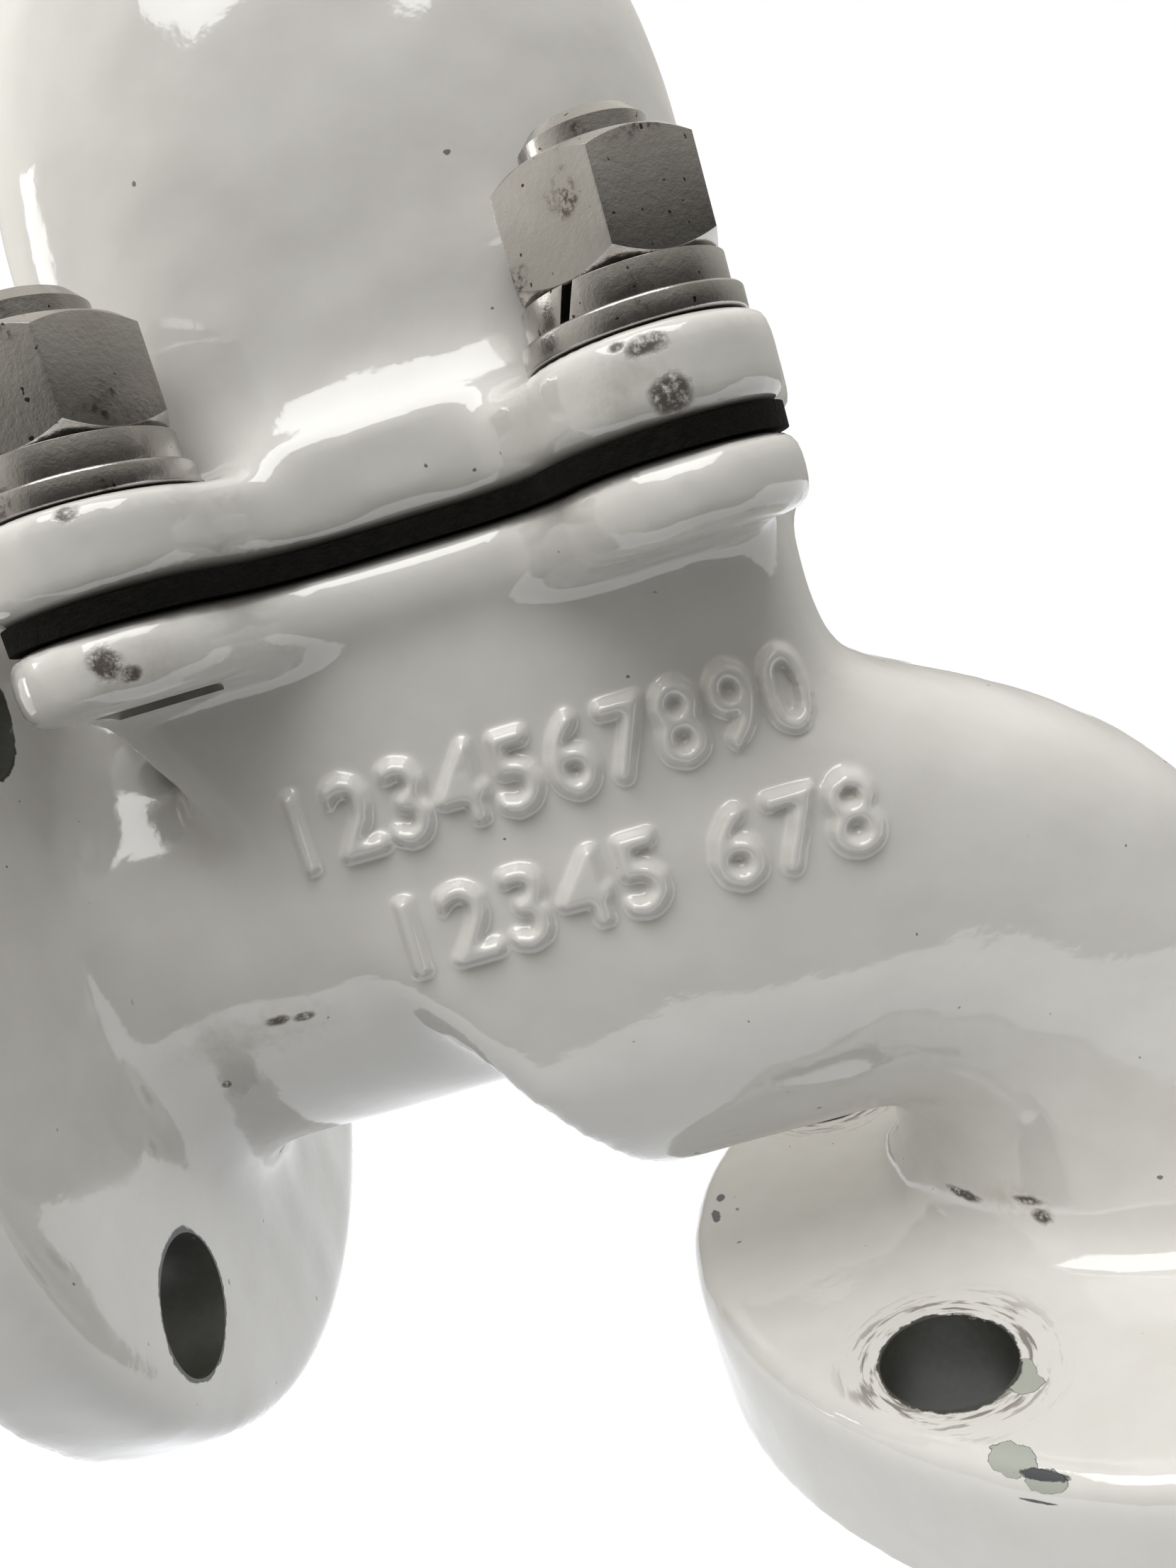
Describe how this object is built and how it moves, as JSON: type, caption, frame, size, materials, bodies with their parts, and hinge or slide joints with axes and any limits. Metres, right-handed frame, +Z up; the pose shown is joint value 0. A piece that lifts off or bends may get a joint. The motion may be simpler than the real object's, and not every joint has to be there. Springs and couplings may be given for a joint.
{
  "type": "storm valve",
  "caption": "Flanged angle-pattern storm valve: a swing check flap on a leaning seat under a tall bolted dome bonnet.",
  "frame": {"origin": "centre of the outlet flange's face", "axes": "+Z up along the outlet bore; the inlet flange faces -X; Y runs across the valve"},
  "size_m": [0.2322, 0.1524, 0.2603],
  "materials": {
    "white_paint": "gloss",
    "stainless": "satin",
    "black_rubber": "matte",
    "bronze": "satin"
  },
  "bodies": {
    "valve": {"body": "white_paint", "bonnet": "white_paint", "bonnet_gasket": "black_rubber", "seat_ring": "bronze", "hinge_bracket": "bronze", "bracket_screw_1": "stainless", "bracket_screw_2": "stainless", "hinge_pin": "stainless", "hinge_split_pin": "stainless", "stud_1": "stainless", "stud_2": "stainless", "stud_3": "stainless", "stud_4": "stainless", "flat_washer_1": "stainless", "flat_washer_2": "stainless", "flat_washer_3": "stainless", "flat_washer_4": "stainless", "lock_washer_1": "stainless", "lock_washer_2": "stainless", "lock_washer_3": "stainless", "lock_washer_4": "stainless", "nut_1": "stainless", "nut_2": "stainless", "nut_3": "stainless", "nut_4": "stainless"},
    "flap": {"flap_arm": "bronze", "flap_disc": "bronze", "face_ring": "black_rubber", "face_ring_retainer": "bronze", "disc_bolt": "stainless", "disc_washer": "stainless", "disc_nut": "stainless"}
  },
  "joints": [
    {"name": "flap_swing", "type": "hinge", "parent": "valve", "child": "flap", "pos_m": [-0.10296, 0, 0.13863], "axis": [0, -1, 0], "range_deg": [0, 75]}
  ]
}
